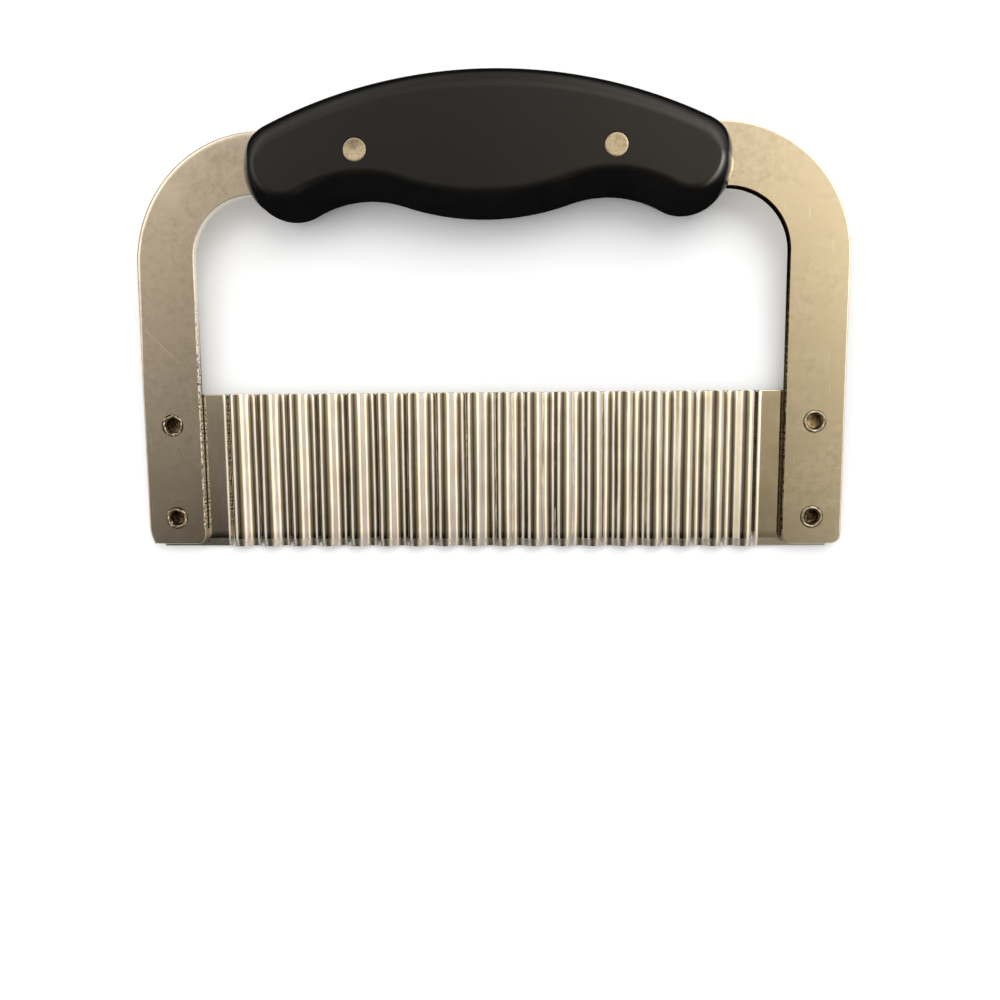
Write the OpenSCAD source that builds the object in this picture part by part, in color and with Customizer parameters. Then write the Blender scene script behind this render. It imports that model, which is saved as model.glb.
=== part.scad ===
// Crinkle cutter: a corrugated blade riveted behind a flat bow, with a two-piece grip over the bar.
// It lies on its back. X runs along the blade, Y from the cutting edge to the grip, Z is up.

/* [Bow] */
// Width over the two legs
bow_w = 178; // [150:1:220]
// Height from the feet to the top of the bar
bow_h = 103.4; // [90:0.1:140]
// Width of each leg
leg_w = 14.8; // [11:0.1:20]
// Width of the top bar
bar_w = 15.5; // [11:0.1:20]
// Sheet thickness
bow_t = 2; // [1.4:0.1:3.5]
// Radius of the two outer corners
outer_r = 32.5; // [22:0.5:40]
// Radius of the two inner corners
inner_r = 15.5; // [8:0.5:20]
// Radius of the small corners at the feet
foot_r = 2.3; // [0.5:0.1:5]
// Radius of the long worn corner outside the left foot
worn_r = 10; // [6:0.5:20]
// Height of that worn corner
worn_h = 4.8; // [2:0.1:6]
// Height of the feet above the cutting edge
foot_rise = 0.8; // [0:0.1:3]

/* [Blade] */
// Height from the cutting edge to the top edge
blade_h = 39.6; // [34:0.1:48]
// Sheet thickness
blade_t = 0.6; // [0.4:0.05:1.2]
// Length of one wave
wave_pitch = 7.68; // [6:0.01:10]
// Depth of the waves, trough to crest
wave_depth = 1.7; // [1:0.1:3.2]
// Bend radius as a share of the largest one that leaves no straight flank
bend_share = 0.96; // [0.5:0.01:0.98]
// Least flat width between a leg and the first wave
flat_min = 4.5; // [3:0.5:10]
// Distance from the end of a tab to the outside of its leg
tab_inset = 3; // [1:0.5:4]
// Height of the ground bevel
bevel_h = 2; // [1:0.1:4]
// Height of the crown on the top edge
top_crown = 0.3; // [0.1:0.05:0.5]

/* [Blade rivets] */
// Shank diameter
rivet_d = 4.6; // [3.5:0.1:5.5]
// Head diameter
rivet_head_d = 8.6; // [7:0.1:10]
// Head height
rivet_head_h = 1.3; // [0.8:0.1:2]
// Bore diameter of the hollow end
rivet_bore_d = 3.2; // [2:0.1:3.3]
// Distance from the cutting edge to the lower rivets
rivet_low = 7.6; // [6:0.1:11]
// Distance from the blade's top edge to the upper rivets
rivet_high = 8; // [6:0.1:11]
// Radial width of the rolled end beyond the shank
roll_out = 0.5; // [0.2:0.05:0.8]
// Depth of the bore from the front of the bow
bore_h = 1.5; // [1.2:0.1:1.9]
// Radial wall of the rolled end
roll_wall = 0.65; // [0.4:0.05:0.8]
// Depth of the flared end in the bow
flare_h = 0.8; // [0.4:0.05:1]
// Radial gap between the rolled end and its countersink
roll_gap = 0.3; // [0.1:0.05:0.5]

/* [Grip] */
// Length of the grip
grip_len = 119.4; // [108:0.1:126]
// Thickness of each scale
scale_t = 8.5; // [6:0.1:12]
// Plastic above the bar at the crown
crown_wall = 11.45; // [8:0.05:18]
// Plastic below the bar at the belly
belly_wall = 6; // [4:0.1:8]
// Plastic below the bar at the finger grooves
groove_wall = 1.1; // [0.6:0.1:2]
// Plastic round the bar at the two ends
end_wall = 3.3; // [2.5:0.05:5]
// Drop of the two round ends below the bar's middle
end_drop = 2.7; // [1:0.05:4]
// Radius of the finger grooves
groove_r = 27.5; // [18:0.5:30]
// Radius of the edges of the two faces
edge_r = 3; // [1.5:0.1:3.5]
// Turn of these edges before the softer flank, in degrees
edge_turn = 40; // [30:1:55]
// Straight wall beside the seam
wall_h = 1.8; // [1:0.1:3]
// Bevel along the seam between the scales
seam_bevel = 0.3; // [0.1:0.05:0.4]

/* [Grip rivets] */
// Distance from each end of the grip to its rivet
grip_rivet_inset = 28.7; // [24:0.1:34]
// Head diameter
head_d = 5.6; // [4.5:0.1:7]
// Head thickness
head_t = 1.4; // [0.8:0.1:2]
// Depth of the heads below the face of a scale
head_sink = 0.1; // [0.05:0.05:0.4]
// Depth of the dish in each head
dish_h = 0.15; // [0.05:0.05:0.4]
// Flat rim round the dish
dish_rim = 0.6; // [0.3:0.1:1]
// Outside diameter of the sleeve
sleeve_d = 4.2; // [3.4:0.1:4.4]
// Diameter of the pin
pin_d = 2.6; // [1.8:0.1:2.8]
// Length of the pin inside the sleeve, past the middle of the bow
pin_reach = 3; // [1:0.5:4]
// Gap left at the ends of the pin and the sleeve
end_gap = 0.4; // [0.2:0.1:0.8]

/* [Fits] */
// Clearance between pieces that fit into each other
fit = 0.05; // [0.02:0.01:0.15]

/* [Hidden] */
$fn = 64;
slack = 1;
arc_step = 9;
arc_chord = 4;
bend_steps = 3;
round_steps = 6;
flank_steps = 4;
edge_steps = 3;

// Bow, measured from the cutting edge and the middle of the bow's sheet
bar_top = foot_rise + bow_h;
bar_low = bar_top - bar_w;
bar_mid = (bar_top + bar_low) / 2;
window_w = bow_w - 2 * leg_w;
bow_front = bow_t / 2;

// Blade
wave_count = floor((window_w - 2 * flat_min) / wave_pitch);
wave_len = wave_count * wave_pitch;
tab_end = bow_w / 2 - tab_inset;
tab_mid = -bow_front - blade_t / 2;
blade_back = -bow_front - blade_t;
bend_r = bend_share * (wave_depth * wave_depth + wave_pitch * wave_pitch / 4) / (4 * wave_depth);
flank_a = let (over = 2 * bend_r - wave_depth, run = wave_pitch / 2)
    atan2(run, over) - acos(2 * bend_r / norm([over, run]));

// Blade rivets
rivet_x = (bow_w - leg_w) / 2;
rivet_rows = [rivet_low, blade_h - rivet_high];
hole_r = rivet_d / 2 + fit;
roll_r = rivet_d / 2 + roll_out;
mouth_r = roll_r - roll_wall;

// Grip outline: one arch over the top, two round ends, two finger grooves and the belly
crown_y = bar_top + crown_wall;
belly_y = bar_low - belly_wall;
end_r = bar_w / 2 + end_wall;
end_c = [grip_len / 2 - end_r, bar_mid - end_drop];
arch_r = let (d = end_c[1] - crown_y)
    (end_r * end_r - end_c[0] * end_c[0] - d * d) / (2 * (d + end_r));
arch_c = [0, crown_y - arch_r];
groove_y = bar_low - groove_wall - groove_r;
groove_c = let (rise = end_c[1] - groove_y, reach = end_r + groove_r)
    [end_c[0] - sqrt(reach * reach - rise * rise), groove_y];
belly_r = let (e = belly_y - groove_y)
    (groove_c[0] * groove_c[0] + e * e - groove_r * groove_r) / (2 * (groove_r - e));
belly_c = [0, belly_y + belly_r];
end_low_a = heading(end_c, groove_c);
end_high_a = heading(arch_c, end_c);
groove_in_a = heading(groove_c, belly_c);
arch_split_a = acos(groove_c[0] / arch_r);

// Edge of a scale: a wall beside the seam, a soft flank and the tighter edge of the face
flank_r = (scale_t - wall_h - edge_r * (1 - cos(edge_turn))) / cos(edge_turn);
face_inset = flank_r * (1 - sin(edge_turn)) + edge_r * sin(edge_turn);

// Grip rivets
grip_rivet_x = grip_len / 2 - grip_rivet_inset;
head_face = scale_t - head_sink;
head_seat = head_face - head_t;

function heading(from, to) = atan2(to[1] - from[1], to[0] - from[0]);
function spread(list) = [for (group = list) for (item = group) item];

// Points along an arc moved toward its centre by an inset, its last point left to the arc that follows
function arc(c, r, inset, a0, a1) =
    let (turn = abs(a1 - a0), n = 2 * ceil(max(turn / arc_step, turn * PI / 180 * r / arc_chord) / 2))
    [for (i = [0 : n - 1]) let (a = a0 + (a1 - a0) * i / n) c + (r - inset) * [cos(a), sin(a)]];
function mirrored(c) = [-c[0], c[1]];

// Arcs of the grip's outline drawn in by an even inset, counterclockwise from above the right groove.
// The arch and the grooves are split in line with each other, where the flat faces are divided.
function grip_arcs(inset) = [
    arc(arch_c, arch_r, inset, arch_split_a, 180 - arch_split_a),
    arc(arch_c, arch_r, inset, 180 - arch_split_a, 180 - end_high_a),
    arc(mirrored(end_c), end_r, inset, 180 - end_high_a, 180 - end_low_a),
    arc(mirrored(groove_c), groove_r, -inset, -end_low_a, 90),
    arc(mirrored(groove_c), groove_r, -inset, 90, 180 - groove_in_a),
    arc(belly_c, belly_r, inset, -groove_in_a, groove_in_a - 180),
    arc(groove_c, groove_r, -inset, groove_in_a, 90),
    arc(groove_c, groove_r, -inset, 90, end_low_a + 180),
    arc(end_c, end_r, inset, end_low_a, end_high_a),
    arc(arch_c, arch_r, inset, end_high_a, arch_split_a)];
function grip_ring(inset, z) = [for (q = spread(grip_arcs(inset))) [q[0], q[1], z]];

// Insets and heights of a scale's rings, from the seam to the face
scale_rings = concat(
    [[seam_bevel, 0], [0, seam_bevel]],
    [for (i = [0 : flank_steps - 1]) let (a = (90 - edge_turn) * i / flank_steps)
        [flank_r * (1 - cos(a)), wall_h + flank_r * sin(a)]],
    [for (i = [0 : edge_steps]) let (a = 90 - edge_turn * (1 - i / edge_steps))
        [face_inset - edge_r * cos(a), scale_t - edge_r * (1 - sin(a))]]);

// The flat faces as three pieces: the left end, the middle and the right end
function start_of(k) = len(spread([for (i = [0 : k]) grip_arcs(0)[i]])) - len(grip_arcs(0)[k]);
grip_faces = let (left_arch = start_of(1), left_groove = start_of(4), right_groove = start_of(7))
    let (points = len(grip_ring(0, 0))) [
        [for (i = [left_arch : left_groove]) i],
        concat([for (i = [0 : left_arch]) i], [for (i = [left_groove : right_groove]) i]),
        concat([0], [for (i = [right_groove : points - 1]) i])];

// Points of one wave as [x, height, slope], from the bottom of a trough to the next
function wave(x0) = concat(
    [for (i = [0 : bend_steps]) let (a = flank_a * i / bend_steps)
        [x0 + bend_r * sin(a), bend_r * (1 - cos(a)), a]],
    [for (i = [0 : 2 * bend_steps]) let (a = flank_a * (1 - i / bend_steps))
        [x0 + wave_pitch / 2 - bend_r * sin(a), wave_depth - bend_r * (1 - cos(a)), a]],
    [for (i = [0 : bend_steps - 1]) let (a = -flank_a * (1 - i / bend_steps))
        [x0 + wave_pitch + bend_r * sin(a), bend_r * (1 - cos(a)), a]]);
blade_path = concat(
    [[-tab_end, 0, 0]],
    spread([for (k = [0 : wave_count - 1]) wave(k * wave_pitch - wave_len / 2)]),
    [[wave_len / 2, 0, 0], [tab_end, 0, 0]]);

// Section of the blade's strip as [side, height]: a ground bevel below, a crowned edge on top
strip_section = [
    [-blade_t / 2, blade_h - top_crown], [-blade_t / 2, bevel_h], [0, 0],
    [blade_t / 2, bevel_h], [blade_t / 2, blade_h - top_crown], [0, blade_h]];
function strip_ring(q) = [for (s = strip_section)
    [q[0] - s[0] * sin(q[2]), s[1], tab_mid + q[1] + s[0] * cos(q[2])]];

// Solid through rings of equally many points, each ring turning the same way, closed by the given faces
module loft(rings, end_faces) {
    n = len(rings[0]);
    last = len(rings) - 1;
    sides = [for (k = [0 : last - 1]) for (i = [0 : n - 1])
        let (a = k * n + i, b = k * n + (i + 1) % n)
        for (f = [[a, a + n, b + n], [a, b + n, b]]) f];
    high_faces = [for (f = end_faces) [for (i = [len(f) - 1 : -1 : 0]) last * n + f[i]]];
    polyhedron(points = spread(rings), faces = concat(end_faces, sides, high_faces));
}

// Moves the assembly from the blade's edge and the bow's middle to the part's own origin
module place() {
    translate([0, -crown_y / 2, scale_t])
        children();
}

// Rectangle on the line y = y0 with its two upper corners rounded
module arched(w, y0, y1, r) {
    translate([-w / 2, y0])
        square([w, y1 - y0 - r]);
    translate([r - w / 2, y0])
        square([w - 2 * r, y1 - y0]);
    for (s = [-1, 1])
        translate([s * (w / 2 - r), y1 - r])
            circle(r = r);
}

// What a corner at the origin loses outside an arc of radius r that starts at height h
module corner_loss(r, h) {
    difference() {
        translate([-slack, -slack])
            square([r + slack, h + slack]);
        translate([r, h])
            circle(r = r);
    }
}

// Outline of the bow, grown on all sides by a clearance
module bow_outline(grow) {
    difference() {
        arched(bow_w + 2 * grow, foot_rise - grow, bar_top + grow, outer_r + grow);
        arched(window_w - 2 * grow, foot_rise - grow - slack, bar_low - grow, inner_r - grow);
    }
}

// What the four corners of the feet lose
module foot_corners() {
    translate([-bow_w / 2, foot_rise])
        corner_loss(worn_r, worn_h);
    translate([bow_w / 2, foot_rise])
        mirror([1, 0])
            corner_loss(foot_r, foot_r);
    for (s = [0, 1])
        mirror([s, 0])
            translate([window_w / 2, foot_rise])
                corner_loss(foot_r, foot_r);
}

// Hole for a blade rivet through the bow and the tab, flared where the rolled end sits
module rivet_hole() {
    translate([0, 0, blade_back - slack])
        cylinder(r = hole_r, h = blade_t + bow_t + 2 * slack);
    translate([0, 0, bow_front - flare_h])
        cylinder(r1 = hole_r, r2 = roll_r + roll_gap, h = flare_h);
}

// Places children at the four blade rivets
module at_blade_rivets() {
    for (s = [-1, 1])
        for (y = rivet_rows)
            translate([s * rivet_x, y, 0])
                children();
}

// Places children at the two grip rivets
module at_grip_rivets() {
    for (s = [-1, 1])
        translate([s * grip_rivet_x, bar_mid, 0])
            children();
}

// Flat stamped frame of two legs and a bar
module bow() {
    color("#b8ab92")
        place()
            difference() {
                linear_extrude(height = bow_t, center = true)
                    difference() {
                        bow_outline(0);
                        foot_corners();
                    }
                at_blade_rivets()
                    rivet_hole();
                at_grip_rivets()
                    cylinder(d = sleeve_d + 2 * fit, h = bow_t + 2 * slack, center = true);
            }
}

// Corrugated sheet with a flat tab behind each leg
module blade() {
    color("#cfc7b8")
        place()
            difference() {
                loft([for (q = blade_path) strip_ring(q)], [[for (i = [0 : len(strip_section) - 1]) i]]);
                at_blade_rivets()
                    rivet_hole();
            }
}

// One half of the grip, rounded on its outer edges, with half of the bar's channel in its inner face
module scale_half() {
    difference() {
        loft([for (ring = scale_rings) grip_ring(ring[0], ring[1])], grip_faces);
        translate([0, 0, -slack])
            linear_extrude(height = bow_front + fit + slack)
                bow_outline(fit);
        at_grip_rivets() {
            cylinder(d = sleeve_d + 2 * fit, h = scale_t);
            translate([0, 0, head_seat])
                cylinder(d = head_d + 2 * fit, h = head_t + head_sink + slack);
        }
    }
}

module front_scale() {
    color("#2e2c29")
        place()
            scale_half();
}

module back_scale() {
    color("#2e2c29")
        place()
            mirror([0, 0, 1])
                scale_half();
}

// Dished head of a grip rivet, as profile points from the middle of its face to its seat
head_profile = [
    [0, head_face - dish_h], [head_d / 2 - dish_rim, head_face],
    [head_d / 2, head_face], [head_d / 2, head_seat]];

// Hollow half of a grip rivet, set from the front
module sleeve(side) {
    color("#c9bda3")
        place()
            translate([side * grip_rivet_x, bar_mid, 0])
                rotate_extrude()
                    polygon(concat(head_profile, [
                        [sleeve_d / 2, head_seat], [sleeve_d / 2, end_gap - head_seat],
                        [pin_d / 2 + fit, end_gap - head_seat], [pin_d / 2 + fit, pin_reach + end_gap],
                        [0, pin_reach + end_gap]]));
}

// Solid half of a grip rivet, set from the back into the sleeve
module pin(side) {
    color("#c9bda3")
        place()
            translate([side * grip_rivet_x, bar_mid, 0])
                mirror([0, 0, 1])
                    rotate_extrude()
                        polygon(concat(head_profile,
                            [[pin_d / 2, head_seat], [pin_d / 2, -pin_reach], [0, -pin_reach]]));
}

// Half section of a blade rivet: domed head behind the tab, bore and rolled end in front of the bow
rivet_profile = let (roll_mid = (roll_r + mouth_r) / 2) concat(
    [for (i = [0 : round_steps]) let (a = 90 * i / round_steps)
        [rivet_head_d / 2 * sin(a), blade_back - rivet_head_h * cos(a)]],
    [[rivet_d / 2, blade_back], [rivet_d / 2, bow_front - flare_h]],
    [for (i = [0 : round_steps]) let (a = 180 * i / round_steps)
        [roll_mid + roll_wall / 2 * cos(a), bow_front + roll_wall / 2 * sin(a)]],
    [[rivet_bore_d / 2, bow_front - flare_h], [rivet_bore_d / 2, bow_front - bore_h],
     [0, bow_front - bore_h]]);

// Rivet through a tab and its leg, row 0 below and row 1 above
module blade_rivet(side, row) {
    color("#c4b79c")
        place()
            translate([side * rivet_x, rivet_rows[row], 0])
                rotate_extrude()
                    polygon(rivet_profile);
}

bow();
blade();
front_scale();
back_scale();
sleeve(-1);  // sleeve_left
sleeve(1);  // sleeve_right
pin(-1);  // pin_left
pin(1);  // pin_right
blade_rivet(-1, 1);  // rivet_left_upper
blade_rivet(-1, 0);  // rivet_left_lower
blade_rivet(1, 1);  // rivet_right_upper
blade_rivet(1, 0);  // rivet_right_lower
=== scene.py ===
"""Looks of a hand crinkle cutter: a stamped bow, a corrugated blade, a moulded grip and its rivets.

Sizes are in millimetres, from the cutting edge (y = 0) and the middle of the bow's sheet (z = 0).
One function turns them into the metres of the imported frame.
"""

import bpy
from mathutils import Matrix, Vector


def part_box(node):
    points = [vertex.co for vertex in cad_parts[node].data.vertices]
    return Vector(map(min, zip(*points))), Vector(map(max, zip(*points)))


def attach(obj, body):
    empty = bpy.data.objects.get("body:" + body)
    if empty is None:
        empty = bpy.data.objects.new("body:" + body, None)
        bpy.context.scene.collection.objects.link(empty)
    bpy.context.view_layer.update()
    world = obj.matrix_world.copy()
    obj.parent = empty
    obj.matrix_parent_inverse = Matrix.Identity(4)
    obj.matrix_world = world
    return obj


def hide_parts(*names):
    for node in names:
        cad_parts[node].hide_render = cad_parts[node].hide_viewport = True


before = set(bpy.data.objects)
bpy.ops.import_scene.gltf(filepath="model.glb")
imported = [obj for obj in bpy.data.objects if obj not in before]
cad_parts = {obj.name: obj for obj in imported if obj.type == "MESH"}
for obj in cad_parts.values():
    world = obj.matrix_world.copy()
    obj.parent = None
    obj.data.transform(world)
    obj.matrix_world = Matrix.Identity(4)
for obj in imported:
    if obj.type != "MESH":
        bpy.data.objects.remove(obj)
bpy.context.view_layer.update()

import logging
import math
from dataclasses import dataclass, field, replace
from enum import Enum
from typing import Iterable, Sequence, Union

import bmesh
import bpy
from mathutils import Matrix, Vector, noise
from mathutils.geometry import tessellate_polygon

LOG = logging.getLogger("crinkle_cutter")
BODY = "root"
MM = 0.001
EDGE_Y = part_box("blade")[0].y
MID_Z = (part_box("bow")[0].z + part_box("bow")[1].z) / 2
SHARP_ANGLE = 40.0
FLAT_WEIGHT = 100

Tree = bpy.types.NodeTree
Node = bpy.types.Node
Socket = bpy.types.NodeSocket
Input = Union[float, Sequence[float], Socket, Node]
Pair = tuple[float, float]
Point = tuple[float, float, float]
Shades = tuple[str, str]


class Side(Enum):
    """The tool's two halves as seen from the front."""

    LEFT = -1
    RIGHT = 1


class Row(Enum):
    """The two rivets of a leg."""

    LOWER = 0
    UPPER = 1


class Face(Enum):
    """The grip's two halves."""

    FRONT = 1
    BACK = -1


class Sheet(Enum):
    """The finishes of the bow's sheet, by their numbers."""

    SATIN = 0
    BRIGHT = 1
    BROWNED = 2
    HANDLED = 3


def in_frame(x: float, y: float, z: float) -> Vector:
    """Turns a point of the tool into the frame.

    Args:
        x: Millimetres to the right of the middle.
        y: Millimetres above the cutting edge.
        z: Millimetres in front of the middle of the bow's sheet.

    Returns:
        The point in metres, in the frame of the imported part.
    """
    return Vector((x * MM, EDGE_Y + y * MM, MID_Z + z * MM))


def linear(hex_colour: str) -> tuple[float, float, float, float]:
    """Turns an sRGB colour into a linear one.

    Args:
        hex_colour: Six hex digits.

    Returns:
        Linear red, green, blue and an alpha of 1.
    """
    parts = [int(hex_colour[i:i + 2], 16) / 255 for i in (0, 2, 4)]
    r, g, b = (c / 12.92 if c <= 0.04045 else ((c + 0.055) / 1.055) ** 2.4 for c in parts)
    return (r, g, b, 1.0)


def per(size_mm: float) -> float:
    """Scale of a pattern in object space, from the millimetres that one feature of it takes."""
    return 1 / (size_mm * MM)


def share_of(value: float, start: float, end: float) -> float:
    """How far a value has come from a start to an end, kept from 0 to 1."""
    return min(1.0, max(0.0, (value - start) / (end - start)))


def heading(start: Vector, end: Vector) -> float:
    """Direction from one point to another, in degrees."""
    return math.degrees(math.atan2(end.y - start.y, end.x - start.x))


def circle(x: float, y: float, z: float, radius: float, count: int) -> list[Point]:
    """Points of a level circle."""
    turn = 2 * math.pi / count
    return [(x + radius * math.cos(turn * i), y + radius * math.sin(turn * i), z) for i in range(count)]


def put(name: str, data: bpy.types.ID) -> bpy.types.Object:
    """Puts a mesh, a lamp or a camera into the scene.

    Args:
        name: The object's name.
        data: What the object shows.

    Returns:
        The object.
    """
    thing = bpy.data.objects.new(name, data)
    bpy.context.scene.collection.objects.link(thing)
    return thing


def add(tree: Tree, kind: str, inputs: dict[Union[str, int], Input], **settings: str) -> Node:
    """Adds a node with its settings and links.

    Args:
        tree: The tree that takes the node.
        kind: The node's type, without the words that every shader node's type begins with.
        inputs: What each input takes: a value, another node's output, or a node for its first output in use.
            From and To take the two ends of a range.
        **settings: Properties of the node.

    Returns:
        The new node.
    """
    node = tree.nodes.new("ShaderNode" + kind)
    for name, value in settings.items():
        setattr(node, name, value)
    for key, value in inputs.items():
        names = (key, f"{key} Min", f"{key} Max")
        sockets = [node.inputs[key]] if isinstance(key, int) else [
            socket for socket in node.inputs if socket.enabled and socket.name in names]
        for socket, entry in zip(sockets, value if len(sockets) > 1 else [value]):
            if isinstance(entry, Node):
                entry = next(output for output in entry.outputs if output.enabled)
            if isinstance(entry, Socket):
                tree.links.new(entry, socket)
            else:
                socket.default_value = entry
    return node


def within(tree: Tree, ranges: Iterable[tuple[Input, Pair]]) -> Node:
    """Tells how far a point lies within all of some ranges.

    Args:
        tree: The material's nodes.
        ranges: For each range a measure of the point, and where the range begins and where it is full.

    Returns:
        The node that gives the share, from 0 to 1.
    """
    share, *others = [add(tree, "MapRange", {"Value": value, "From": ends}) for value, ends in ranges]
    for other in others:
        share = add(tree, "Math", {0: share, 1: other}, operation="MULTIPLY")
    return share


def new_material(name: str) -> tuple[bpy.types.Material, Tree]:
    """Makes an empty node material.

    Args:
        name: The material's name.

    Returns:
        The material and its tree.
    """
    material = bpy.data.materials.new(name)
    material.use_nodes = True
    material.node_tree.nodes.clear()
    return material, material.node_tree


class Finish:
    """A surface that runs between two colours and two roughnesses, and becomes a material once."""

    name: str
    colours: Shades
    roughness: Pair

    def surface(self, tree: Tree, place: Socket) -> dict[str, Input]:
        """Lays out the pattern of the surface.

        Args:
            tree: The material's nodes.
            place: Where a point lies on the piece.

        Returns:
            What the shader's inputs take.
        """
        raise NotImplementedError

    def toned(self, tree: Tree, share: Node) -> dict[str, Input]:
        """Runs from the first colour and roughness to the second.

        Args:
            tree: The material's nodes.
            share: How far a point has come.

        Returns:
            What the shader's colour and roughness take.
        """
        first, second = map(linear, self.colours)
        return {
            "Base Color": add(tree, "Mix", {"Factor": share, "A": first, "B": second}, data_type="RGBA"),
            "Roughness": add(tree, "MapRange", {"Value": share, "To": self.roughness})}

    def material(self) -> bpy.types.Material:
        """Finds the material, or builds it the first time.

        Returns:
            The material.
        """
        made = bpy.data.materials.get(self.name)
        if made is None:
            made, tree = new_material(self.name)
            place = add(tree, "TexCoord", {}).outputs["Object"]
            shader = add(tree, "BsdfPrincipled", self.surface(tree, place))
            add(tree, "OutputMaterial", {"Surface": shader})
        return made


@dataclass(frozen=True)
class SatinSheet(Finish):
    """Stainless sheet with a cold-rolled satin face: a soft mirror with a fine grain.

    It gives the eye a blurred, warm reflection, dulled and mottled by smudges and crossed by a few hairline
    scratches, with a long one on the left leg.
    """

    name: str = "stainless_sheet_cold_rolled_satin"
    colours: Shades = ("D1C9BC", "C5BCAD")
    stain: str = "A89D8E"
    bared: str = "E6DECF"
    roughness: Pair = (0.19, 0.31)
    scuffed: float = 0.16
    smudge_mm: float = 16.0
    smudged: Pair = (0.34, 0.68)
    mottle_mm: float = 1.8
    mottled: Pair = (0.42, 0.78)
    grain_mm: Pair = (5.0, 0.22)
    relief_mm: float = 0.02
    scratch_mm: Pair = (0.16, 9.0)
    scratch_angles: Pair = (34.0, -57.0)
    scratched: Pair = (0.765, 0.82)
    scratch_depth: float = -1.6
    fleck_mm: float = 1.1
    fleck_r: Pair = (0.1, 0.04)
    fleck_chance: float = 0.93
    long_scratch: Pair = (-83.6, 52.0)
    long_angle: float = 45.0
    long_mm: Pair = (13.7, 0.12)

    def wear(self, tree: Tree, place: Socket) -> Node:
        """Lays out the flecks and the hairline scratches.

        Args:
            tree: The material's nodes.
            place: Where a point lies on the piece.

        Returns:
            The node that tells how worn a point is.
        """
        specks = add(tree, "TexVoronoi", {"Vector": place, "Scale": per(self.fleck_mm)})
        fleck = add(tree, "MapRange", {"Value": specks.outputs["Distance"], "From": self.fleck_r})
        chance = add(tree, "Math", {
            0: specks.outputs["Color"], 1: self.fleck_chance}, operation="GREATER_THAN")
        marks = add(tree, "Math", {0: fleck, 1: chance}, operation="MULTIPLY")
        thin, long = map(per, self.scratch_mm)
        for angle in self.scratch_angles:
            turned = add(tree, "Mapping", {
                "Vector": place, "Rotation": (0.0, 0.0, math.radians(angle)), "Scale": (thin, long, long)})
            hair = add(tree, "TexNoise", {"Vector": turned, "Scale": 1.0, "Detail": 1.0})
            cut = add(tree, "MapRange", {"Value": hair, "From": self.scratched})
            marks = add(tree, "Math", {0: marks, 1: cut}, operation="MAXIMUM")
        return marks

    def drag(self, tree: Tree, place: Socket) -> Node:
        """Lays out the long scratch.

        Args:
            tree: The material's nodes.
            place: Where a point lies on the piece.

        Returns:
            The node that tells how far a point is bared.
        """
        turn = Matrix.Rotation(math.radians(self.long_angle), 3, "Z")
        length, width = (size * MM for size in self.long_mm)
        straight = add(tree, "Mapping", {
            "Vector": place, "Rotation": turn.to_euler(),
            "Location": -(turn @ in_frame(*self.long_scratch, 0.0))})
        away = add(tree, "VectorMath", {0: straight}, operation="ABSOLUTE")
        line = add(tree, "SeparateXYZ", {"Vector": away})
        return within(tree, [
            (line.outputs["X"], (length / 2, length / 3)), (line.outputs["Y"], (width, width / 3))])

    def surface(self, tree: Tree, place: Socket) -> dict[str, Input]:
        """Lays out smudges, mottle, grain and wear.

        Args:
            tree: The material's nodes.
            place: Where a point lies on the piece.

        Returns:
            What the shader's inputs take.
        """
        smudge = add(tree, "TexNoise", {
            "Vector": place, "Scale": per(self.smudge_mm), "Detail": 5.0, "Roughness": 0.62,
            "Distortion": 0.6})
        mottle = add(tree, "TexNoise", {
            "Vector": place, "Scale": per(self.mottle_mm), "Detail": 5.0, "Roughness": 0.7,
            "Distortion": 0.4})
        look = self.toned(tree, add(tree, "MapRange", {"Value": smudge, "From": self.smudged}))
        soiled = within(tree, [(mottle, self.mottled), (smudge, self.smudged)])
        colour, wear = look["Base Color"], self.wear(tree, place)
        for share, shade in ((soiled, self.stain), (self.drag(tree, place), self.bared)):
            colour = add(tree, "Mix", {"Factor": share, "A": colour, "B": linear(shade)}, data_type="RGBA")
        rough = add(tree, "Math", {0: wear, 1: self.scuffed, 2: look["Roughness"]}, operation="MULTIPLY_ADD")
        # The grain is drawn about three times as coarse as rolling leaves it, so that it shows.
        along, across = map(per, self.grain_mm)
        grain_place = add(tree, "Mapping", {"Vector": place, "Scale": (along, across, across)})
        grain = add(tree, "TexNoise", {"Vector": grain_place, "Scale": 1.0, "Detail": 3.0})
        height = add(tree, "Math", {0: wear, 1: self.scratch_depth, 2: grain}, operation="MULTIPLY_ADD")
        bump = add(tree, "Bump", {"Strength": 0.16, "Distance": self.relief_mm * MM, "Height": height})
        return {"Base Color": colour, "Metallic": 1.0, "Roughness": rough, "Normal": bump}


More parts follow.
